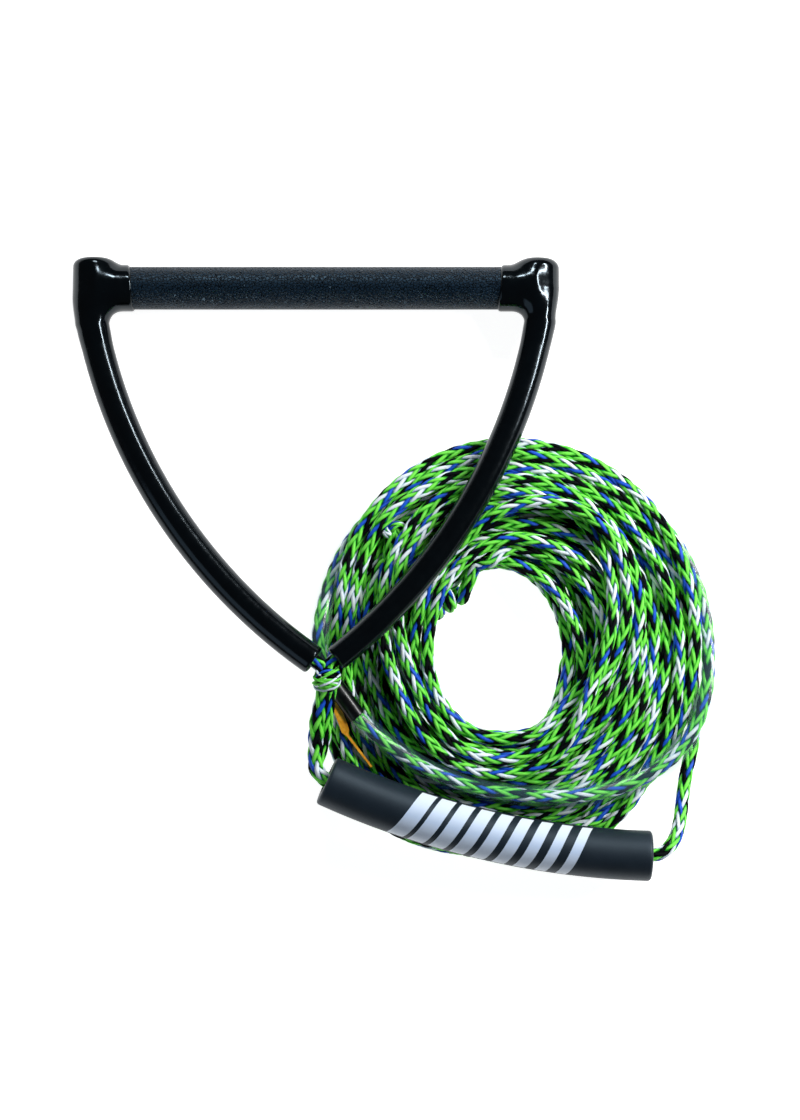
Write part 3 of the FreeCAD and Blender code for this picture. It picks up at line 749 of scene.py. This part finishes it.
def braid(name, line, radius, pitch=BRAID_PITCH, step=YARN_STEP):
    """Yarns that pass over two and under two along a line, eight each way. radius may change along it."""
    line = evenly(line, step)
    s = stations(line)
    r = np.interp(s, np.linspace(0, s[-1], len(np.atleast_1d(radius))), np.atleast_1d(radius))
    t, a, b = frames(line)
    scale = r / (ROPE_D / 2 * MM)
    each_way = len(TO_RIGHT)
    crossing = 2 * each_way * s / pitch
    section = np.linspace(0, 2 * math.pi, YARN_SIDES, endpoint=False) + math.pi / 2
    yarns = []
    for way, letter, colours in ((1, "r", TO_RIGHT), (-1, "l", TO_LEFT)):
        for k, colour in enumerate(colours):
            angle = way * 2 * math.pi * s / pitch + 2 * math.pi * k / each_way
            level = way * np.cos(math.pi / 2 * (2 * k + way * crossing - 0.5))
            out = a * np.cos(angle)[:, None] + b * np.sin(angle)[:, None]
            centre = line + out * ((YARN_OUT + YARN_RISE * level) * MM * scale)[:, None]
            along = unit(np.gradient(centre, axis=0))
            wide = unit(np.cross(along, out))
            up = np.cross(wide, along)
            half_wide = (YARN_HALF_WIDE + YARN_WIDER * level) * MM * scale
            half_thick = YARN_HALF_THICK * MM * scale
            c, d = np.cos(section), np.sin(section)
            rings = (centre[:, None] + wide[:, None] * (half_wide[:, None] * c)[..., None]
                     + up[:, None] * (half_thick[:, None] * np.sign(d) * np.abs(d) ** YARN_BOX)[..., None])
            # painted light and shade: lighter where the yarn passes over and on its outer face, darker at
            # its edges and where it passes under
            painted_light = np.clip(0.38 + 0.38 * level[:, None] + 0.36 * d[None] - 0.18 * np.abs(c)[None], 0, 1)
            yarns.append(skin("%s_yarn_%s%d" % (name, letter, k + 1), rings, STRANDS[colour],
                              along=s * UV_PER_METRE, around=np.linspace(0, 1, YARN_SIDES + 1),
                              painted_light=painted_light))
    return yarns


def cored_braid(name, line, radius, core_radius, core_step, **settings):
    """A braid and the core inside it."""
    yarns = braid(name, line, radius, **settings)
    return yarns, tube(name + "_core", evenly(line, core_step), core_radius, CORE_SIDES, CORE_SHADE)


def spline_line(points, resolution):
    """The points that a NURBS spline follows, in metres."""
    curve = bpy.data.curves.new("route", "CURVE")
    curve.dimensions = "3D"
    spline = curve.splines.new("NURBS")
    spline.points.add(len(points) - 1)
    flat = np.column_stack([np.asarray(points) * MM, np.ones(len(points))])
    spline.points.foreach_set("co", flat.ravel())
    spline.order_u = 3
    spline.use_endpoint_u = True
    spline.resolution_u = resolution
    holder = bpy.data.objects.new("route", curve)
    bpy.context.scene.collection.objects.link(holder)
    bpy.context.view_layer.update()
    mesh = bpy.data.meshes.new_from_object(holder.evaluated_get(bpy.context.evaluated_depsgraph_get()))
    line = np.array([v.co for v in mesh.vertices], float)
    bpy.data.objects.remove(holder)
    bpy.data.meshes.remove(mesh)
    return line


def put(body, slot, *pieces):
    """Rides pieces on a body. slot is not used."""
    for piece in pieces:
        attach(piece, body)


# ---------------------------------------------------------------- tow rope

# How much thicker the spliced stretch is, and where it gets thinner, in metres from the knot
SPLICE_MORE, SPLICE_THINS, SPLICE_TAPER = 0.8, 0.052, 0.04
CORE_STEP = 0.0035

rope_line = spline_line(np.concatenate([SPLICE_ROUTE, LEAD_ROUTE, coil_route()]), 4)
rope_length = stations(rope_line)[-1]
at = np.linspace(0, rope_length, 4000)
rope_radius = MM * (ROPE_D / 2 + SPLICE_MORE * (1 - ease((at - SPLICE_THINS) / SPLICE_TAPER)))
rope_yarns = braid("tow_rope", rope_line, rope_radius)
rope_core_line = evenly(rope_line, CORE_STEP)
core_radius = np.interp(stations(rope_core_line), at, rope_radius) * CORE_SHARE
rope_core = tube("tow_rope_core", rope_core_line, core_radius, CORE_SIDES, CORE_SHADE)
put("rope", "braided_rope", rope_core, *rope_yarns)
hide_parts("lead_splice", "lead_rope", "rope_coil", "coil_tie")

# the tail's knot, a tight overhand
TAIL_KNOT_SIZE, TAIL_CORD_R, TAIL_CORE_R = 2.2, 3.4, 2.45
a = np.linspace(0, 2 * math.pi, 60)
trefoil = np.column_stack([np.sin(a) + 2 * np.sin(2 * a), np.cos(a) - 2 * np.cos(2 * a),
                           -1.1 * np.sin(3 * a)])
tail_line = (TAIL_KNOT_AT + trefoil[:-2] * TAIL_KNOT_SIZE) * MM
tail_yarns, tail_core = cored_braid("tail_knot", tail_line, [TAIL_CORD_R * MM], TAIL_CORE_R * MM, 0.002,
                                    pitch=0.05, step=0.0012)
put("rope", "braided_rope", tail_core, *tail_yarns)
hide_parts("tail_knot")

# the rope's end, laid back beside the lead
STRAND_ROUTE = [(10.6, -150.0, 51.5), (9.4, -160.0, 48.5), (8.2, -171.0, 45.5), (7.0, -182.0, 43.0),
                (5.4, -192.0, 41.6), (3.2, -200.0, 41.0), (1.8, -206.0, 41.0)]
STRAND_R, STRAND_CORE_R = np.array([4.4, 4.4, 4.4, 4.2, 3.4, 2.4]), 2.2
strand_yarns, strand_core = cored_braid("lead_strand", spline_line(STRAND_ROUTE, 12), STRAND_R * MM,
                                        STRAND_CORE_R * MM, 0.0025)
put("rope", "braided_rope", strand_core, *strand_yarns)

# the knot between the handle and the rope: fine cords wound into an uneven ball
KNOT_CORD_R = 0.85
KNOT_BALL = (8.8, 10.6)
# How far each cord leans from the knot's axis, and how far along it the cords lie, of the ball's radius
KNOT_LEAN, KNOT_SPREAD = (0.1, 0.8), 0.75
KNOT_COLOURS = ("green", "white", "green", "black", "green", "green", "white", "green", "green",
                "black", "green", "white", "green", "green", "blue", "green", "white", "green")
knot_middle = KNOT_AT + np.array([-0.6, 1.4, -0.6])
knot_cords = []
rng = np.random.default_rng(KNOT_SEED)
a = np.linspace(0, 2 * math.pi, 90)[:-1]
for k, colour in enumerate(KNOT_COLOURS):
    lean, turned = rng.uniform(*KNOT_LEAN), rng.uniform(0, 2 * math.pi)
    place = rng.uniform(-KNOT_SPREAD, KNOT_SPREAD)
    axis = np.array([math.sin(lean) * math.cos(turned), math.cos(lean), math.sin(lean) * math.sin(turned)])
    across = np.cross(axis, [0.2, 0.1, 1.0])
    across /= np.linalg.norm(across)
    loop = place * axis + math.sqrt(1 - place ** 2) * (np.outer(np.cos(a), across)
                                                      + np.outer(np.sin(a), np.cross(axis, across)))
    loop *= (0.93 + 0.07 * np.sin(3 * a + rng.uniform(0, ANY_PHASE)) + 0.05 * rng.normal())[:, None]
    ball = loop * np.array([KNOT_BALL[0], KNOT_BALL[1], KNOT_BALL[0]])
    cord = (knot_middle + np.concatenate([ball, ball[:3]])) * MM
    # each cord is lighter on the ball's outside as painted light and darker inside it as painted shade
    knot_cords.append(tube("knot_cord_%d" % (k + 1), cord, KNOT_CORD_R * MM, 10, STRANDS[colour],
                           ball=knot_middle * MM))
# a near-black core inside the ball, painted shade seen between the cords
KNOT_CORE_HALF, KNOT_CORE_R, KNOT_CORE_END = 9.5, 6.6, 11.5
along_knot = np.linspace(-KNOT_CORE_HALF, KNOT_CORE_HALF, 13)
core_line = knot_middle + np.column_stack([0 * along_knot, along_knot, 0 * along_knot])
knot_core_radius = KNOT_CORE_R * np.sqrt(1 - (along_knot / KNOT_CORE_END) ** 2)
knot_core = tube("knot_core", core_line * MM, knot_core_radius * MM, 20, CORE_SHADE)
put("rope", "braided_rope", knot_core, *knot_cords)
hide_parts("bridle_knot")

# the bridle's legs, from the arms' tips into the knot
LEG_R, LEG_CORE_R = 4.6, 3.3
for side, points in (("left", LEFT_ARC), ("right", RIGHT_ARC)):
    arm = arm_line(points)
    tip, inward = arm[-1], arm[-1] - arm[-4]
    inward = inward / np.linalg.norm(inward)
    route = [tip - inward * 12, tip - inward * 2, tip + inward * 7, KNOT_AT + np.array([-0.6, 4.0, 0.0]),
             KNOT_AT + np.array([-0.6, -4.0, -1.0])]
    yarns, core = cored_braid("leg_" + side, spline_line(route, 12), [LEG_R * MM], LEG_CORE_R * MM, 0.0025)
    for piece in yarns + [core]:
        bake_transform(piece)
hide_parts("bridle_rope")

# ---------------------------------------------------------------- hose hoop

HOOP_ROPE_R, HOOP_CORE_R, BORE_GAP = 4.7, 3.35, 0.25
hoop_line = spline_line(HOOP_ROUTE, 10)
hoop_yarns, hoop_core = cored_braid("hoop_rope", hoop_line, [HOOP_ROPE_R * MM], HOOP_CORE_R * MM, 0.003)
fine = evenly(hoop_line, 0.0025)
t, a, b = frames(fine)
angle = np.linspace(0, 2 * math.pi, 40, endpoint=False)
ring = rim(a, b, angle)
outer = fine[:, None] + ring * HOSE_R * MM
inner = (fine[:, None] + ring * (HOSE_BORE_R + BORE_GAP) * MM)[::-1]
hose = skin("clear_hose", np.concatenate([outer, inner]), HOSE, closed=False)
put("rope", "clear_hose", hose)
put("rope", "braided_rope", hoop_core, *hoop_yarns)
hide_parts("hoop_hose")
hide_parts("hoop_rope")

# ---------------------------------------------------------------- float

FLOAT_EDGE = 0.0022
bow = float_line(np.linspace(0, 1, 180)) * MM
t = unit(np.gradient(bow, axis=0))
up = unit(np.cross(t, np.cross([0, 0, 1.0], t)))
side = np.cross(t, up)
angle = np.linspace(-math.pi, math.pi, 72, endpoint=False)
along = stations(bow)
length = along[-1]
# the rings are close together over the rounded edges
rounded = np.concatenate([FLOAT_EDGE * (1 - np.cos(np.linspace(0, math.pi / 2, 7))), [0.005]])
at = np.concatenate([rounded, np.linspace(0.008, length - 0.008, 170), length - rounded[::-1]])
from_end = np.minimum(at, length - at)
dip = FLOAT_EDGE ** 2 - np.maximum(FLOAT_EDGE - from_end, 0) ** 2
radius = FLOAT_R * MM - FLOAT_EDGE + np.sqrt(np.maximum(dip, 0))


def along_bow(values):
    """Values known along the bow, at the rings' places."""
    return np.stack([np.interp(at, along, values[:, k]) for k in range(3)], 1)


centre, up, side = along_bow(bow), along_bow(up), along_bow(side)
circle = rim(up, -side, angle)
outer = centre[:, None] + circle * radius[:, None, None]
bore = (centre[:, None] + circle * (LINER_R * MM))[::-1]
rings = np.concatenate([outer, bore])
float_piece = skin("float_foam", rings, FOAM, along=np.concatenate([at, at[::-1]]) / length,
                   around=np.linspace(-0.5, 0.5, 73), closed=False)
put("float", "float_foam", float_piece)
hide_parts("float_body")

# ---------------------------------------------------------------- handle

TIP_LIP, INNER_LIP = 2.0, 0.8
SOCKET_R, SOCKET_DEPTH = 6.6, 13.8


def arm_piece(name, points, radii, node):
    """A coated arm: a tapered tube with a rounded lip round the socket in its tip."""
    line = arm_line(points, 150) * MM
    t, a, b = frames(line)
    r = np.linspace(radii[0], radii[1], len(line)) * MM
    angle = np.linspace(0, 2 * math.pi, 56, endpoint=False)
    body = stations(line) < stations(line)[-1] - TIP_LIP * MM
    rings = [(line[k], a[k], b[k], r[k]) for k in np.nonzero(body)[0]]
    tip, along, u, v, last = line[-1], t[-1], a[-1], b[-1], radii[1]
    ends = [(TIP_LIP * (1 - math.sin(q)), last - TIP_LIP * (1 - math.cos(q)))
            for q in np.linspace(0, math.pi / 2, 8)]
    ends += [(INNER_LIP * (1 - math.sin(q)), SOCKET_R + INNER_LIP * (1 - math.cos(q)))
             for q in np.linspace(math.pi / 2, 0, 5)]
    ends += [(SOCKET_DEPTH, SOCKET_R), (SOCKET_DEPTH + 0.1, SOCKET_R / 2)]
    rings += [(tip - along * back * MM, u, v, radius * MM) for back, radius in ends]
    mesh = np.array([c + rad * (np.outer(np.cos(angle), x) + np.outer(np.sin(angle), y))
                     for c, x, y, rad in rings])
    piece = skin(name, mesh, ARM_BLACK)
    put("handle", "arm_coating", piece)
    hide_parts(node)


arm_piece("arm_left", LEFT_ARC, LEFT_ARM_R, "left_arm")
arm_piece("arm_right", RIGHT_ARC, RIGHT_ARM_R, "right_arm")

BOSS_X, BOSS_TOP, BOSS_LOW, BOSS_R = 151.0, 19.7, -8.0, 14.1
COVER_FOOT_ALONG_ARM, COVER_COAT, COVER_END_THINNER = 27.0, 0.4, 0.25
COLLAR_R, COLLAR_START, COLLAR_PAST, COLLAR_END_X, COLLAR_EDGE = 15.9, 124.6, 6, 150.0, 3.0
# How wide the fillets are at the collar and round its mouth
COLLAR_FILLET, MOUTH_FILLET = 7.5, 2.2
# The grid that a cover's surface is found on and its bounds, the step that measures a slope, how much of
# each point's own place is kept as the surface is smoothed, and the rounds, of which the first smooth
COVER_GRID, COVER_LOW, COVER_HIGH, GRID_BEFORE, GRID_BEYOND = 0.9, (-62.0, -19.0), (23.0, 19.0), 5, 3
PROBE, KEPT, ROUNDS, SMOOTH_ROUNDS = 0.05, 0.4, 5, 3


def rounded_rod(radial, beyond_middle, radius, half, edge):
    """The distance from a rod with rounded edges."""
    q = np.stack([radial - radius + edge, np.abs(beyond_middle) - half + edge], -1)
    return np.linalg.norm(np.maximum(q, 0), axis=-1) + np.minimum(q.max(-1), 0) - edge


def melted(a, b, width):
    """Two distances as one, with a fillet where the surfaces meet."""
    share = np.maximum(width - np.abs(a - b), 0) / width
    return np.minimum(a, b) - share * share * width / 4


def cover_field(points, side, radii, edge, taper, wave):
    """The distance from a dipped cover's surface, for points of the handle's own plane."""
    x, s = circle_through(points, 400)
    arc = np.stack([x, s], 1)
    down = stations(arc)
    arc, down = arc[down < COVER_FOOT_ALONG_ARM], down[down < COVER_FOOT_ALONG_ARM]
    start = np.stack([np.linspace(side * BOSS_X, arc[0, 0], 40), np.linspace(-2.0, arc[0, 1], 40)], 1)
    axis = np.concatenate([start[:-1], arc])
    from_top = stations(axis)
    wide = BOSS_R - (BOSS_R - radii[0] - COVER_COAT) * ease((from_top - taper[0]) / (taper[1] - taper[0]))
    thin = ease((from_top - taper[1]) / (from_top[-1] - 2.0 - taper[1]))
    wide -= (COVER_COAT + COVER_END_THINNER) * thin

    def field(p):
        boss = rounded_rod(np.hypot(p[:, 0] - side * BOSS_X, p[:, 2]), p[:, 1] - (BOSS_TOP + BOSS_LOW) / 2,
                           BOSS_R, (BOSS_TOP - BOSS_LOW) / 2, edge)
        leg = np.full(len(p), 1e9)
        for (ax, ay), r in zip(axis, wide):
            leg = np.minimum(leg, np.sqrt((p[:, 0] - ax) ** 2 + (p[:, 1] - ay) ** 2 + p[:, 2] ** 2) - r)
        boss = np.minimum(boss, leg)
        out = side * p[:, 0]
        middle = (COLLAR_START - COLLAR_PAST + COLLAR_END_X) / 2
        half = (COLLAR_END_X - COLLAR_START + COLLAR_PAST) / 2
        collar = rounded_rod(np.hypot(p[:, 1], p[:, 2]), out - middle, COLLAR_R, half, COLLAR_EDGE)
        whole = melted(boss, collar, COLLAR_FILLET)
        turn = np.arctan2(p[:, 2], p[:, 1])
        slant = COLLAR_START + 1.4 * p[:, 1] / COLLAR_R + 0.35 * np.sin(3 * turn + wave) - out
        return -melted(-whole, -slant, MOUTH_FILLET)

    return field


def wrapped(field, low, high, step):
    """Points and quads over a field's zero surface."""
    axes = [np.arange(a, b + step, step) for a, b in zip(low, high)]
    grid = np.stack(np.meshgrid(*axes, indexing="ij"), -1)
    inside = (field(grid.reshape(-1, 3)) < 0).reshape(grid.shape[:3])
    size = np.array(inside.shape) - 1
    count = np.zeros(size, int)
    for i, j, k in np.ndindex(2, 2, 2):
        count += inside[i:i + size[0], j:j + size[1], k:k + size[2]]
    active = (count > 0) & (count < 8)
    cell = np.full(size, -1)
    cell[active] = np.arange(active.sum())
    points = grid[:-1, :-1, :-1][active] + step / 2
    quads = []
    for axis in range(3):
        change = np.diff(inside.astype(int), axis=axis)
        at = np.argwhere(change)
        corners = []
        for du, dv in ((0, 0), (-1, 0), (-1, -1), (0, -1)):
            c = at.copy()
            c[:, (axis + 1) % 3] += du
            c[:, (axis + 2) % 3] += dv
            corners.append(cell[tuple(c.T)])
        quad = np.stack(corners, 1)
        flip = change[tuple(at.T)] > 0
        quad[flip] = quad[flip][:, ::-1]
        quads.append(quad)
    quads = np.concatenate(quads)
    edges = np.concatenate([quads[:, [k, (k + 1) % 4]] for k in range(4)])
    for r in range(ROUNDS):
        slope = np.stack([(field(points + nudge) - field(points - nudge)) / (2 * PROBE)
                          for nudge in np.eye(3) * PROBE], 1)
        points = points - slope * (field(points) / np.maximum((slope ** 2).sum(1), 1e-6))[:, None]
        if r < SMOOTH_ROUNDS:
            total, n = np.zeros_like(points), np.bincount(edges[:, 0], minlength=len(points))
            for k in range(3):
                total[:, k] = np.bincount(edges[:, 0], points[edges[:, 1], k], len(points))
            points = points * KEPT + total / n[:, None] * (1 - KEPT)
    return points, quads


def dipped_cover(name, points, side, radii, node, edge, taper, wave):
    """The coat over a corner, one smooth skin from the grip's end to where it thins out on the arm."""
    field = cover_field(points, side, radii, edge, taper, wave)
    near, far = sorted((side * (COLLAR_START - GRID_BEFORE), side * (HALF_WIDTH + GRID_BEYOND)))
    verts, quads = wrapped(field, (near, *COVER_LOW), (far, *COVER_HIGH), COVER_GRID)
    flat = lie(verts[:, 0], verts[:, 1])
    flat[:, 1] += verts[:, 2] * math.sin(PITCH)
    flat[:, 2] += verts[:, 2] * math.cos(PITCH)
    mesh = bpy.data.meshes.new(name)
    mesh.from_pydata(flat * MM, [], quads.tolist())
    made = finished(mesh, name, VINYL)
    put("handle", "dipped_vinyl", made)
    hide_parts(node)


dipped_cover("cover_left", LEFT_ARC, -1, LEFT_ARM_R, "left_corner_cover",
             edge=5.2, taper=(3.0, 27.0), wave=0.4)
dipped_cover("cover_right", RIGHT_ARC, 1, RIGHT_ARM_R, "right_corner_cover",
             edge=6.8, taper=(-3.0, 20.0), wave=2.6)

# the grip, a sleeve with its bore
GRIP_R, GRIP_BORE_R, GRIP_HALF = 14.5, 12.72, 130.0
x = np.linspace(-GRIP_HALF, GRIP_HALF, 260)
angle = np.linspace(0, 2 * math.pi, 120, endpoint=False)
circle = np.stack([np.zeros_like(angle), np.cos(angle), np.sin(angle)], -1)[None]
line = lie(x, np.zeros_like(x)) * MM
outside = line[:, None] + GRIP_R * MM * circle
bore = line[[-1, 0]][:, None] + GRIP_BORE_R * MM * circle
grip = skin("grip", np.concatenate([outside, bore]), GRIP, closed=False)
put("handle", "grip_rubber", grip)
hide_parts("grip_sleeve")

# parts whose CAD shape is already right
for node, material in (("bar_tube", ALUMINIUM), ("left_tube_bush", NYLON), ("right_tube_bush", NYLON),
                       ("left_tip_ferrule", NYLON), ("right_tip_ferrule", NYLON), ("float_liner", NYLON),
                       ("hoop_coupling", COUPLING), ("tag_strap", AMBER)):
    mesh = NODES[node].data
    mesh.materials.clear()
    mesh.materials.append(material)

# ---------------------------------------------------------------- floor and light

floor_material, tree, bsdf = shader("floor", Roughness=0.9, Specular_IOR_Level=0.1,
                                     Emission_Color=(1.0, 1.0, 1.0, 1), Emission_Strength=0.93)
coloured(tree, bsdf, grain(tree, 3.0), (0.3, (0.58, 0.58, 0.58)), (0.7, (0.62, 0.62, 0.62)))
bpy.ops.mesh.primitive_plane_add(size=12.0, location=(0.05, -0.07, -0.0002))
floor = bpy.context.object
floor.name = "floor"
floor.data.materials.append(floor_material)

world = bpy.context.scene.world or bpy.data.worlds.new("world")
bpy.context.scene.world = world
world.use_nodes = True
world.node_tree.nodes["Background"].inputs[0].default_value = (0.93, 0.97, 1.0, 1)
world.node_tree.nodes["Background"].inputs[1].default_value = 0.07


def area_light(name, at, aim, size, power, colour=(1, 1, 1)):
    """A soft rectangular light that points at a place."""
    data = bpy.data.lights.new(name, "AREA")
    data.shape = "RECTANGLE"
    data.size, data.size_y = size
    data.energy = power
    data.color = colour
    made = bpy.data.objects.new(name, data)
    direction = np.array(aim) - np.array(at)
    made.location = at
    made.rotation_mode = "QUATERNION"
    made.rotation_quaternion = Vector(direction).to_track_quat("-Z", "Y")
    bpy.context.scene.collection.objects.link(made)


area_light("key", (1.15, 0.55, 0.90), (0.05, -0.05, 0), (1.1, 0.10), 30)
area_light("back", (-0.05, 1.30, 0.85), (0.0, 0.0, 0), (0.35, 0.14), 8, (0.92, 0.97, 1.0))
area_light("fill", (-1.0, -0.8, 0.9), (0.05, -0.05, 0), (1.2, 0.8), 2.5, (0.65, 0.82, 1.0))

bpy.context.scene.view_settings.view_transform = "Standard"
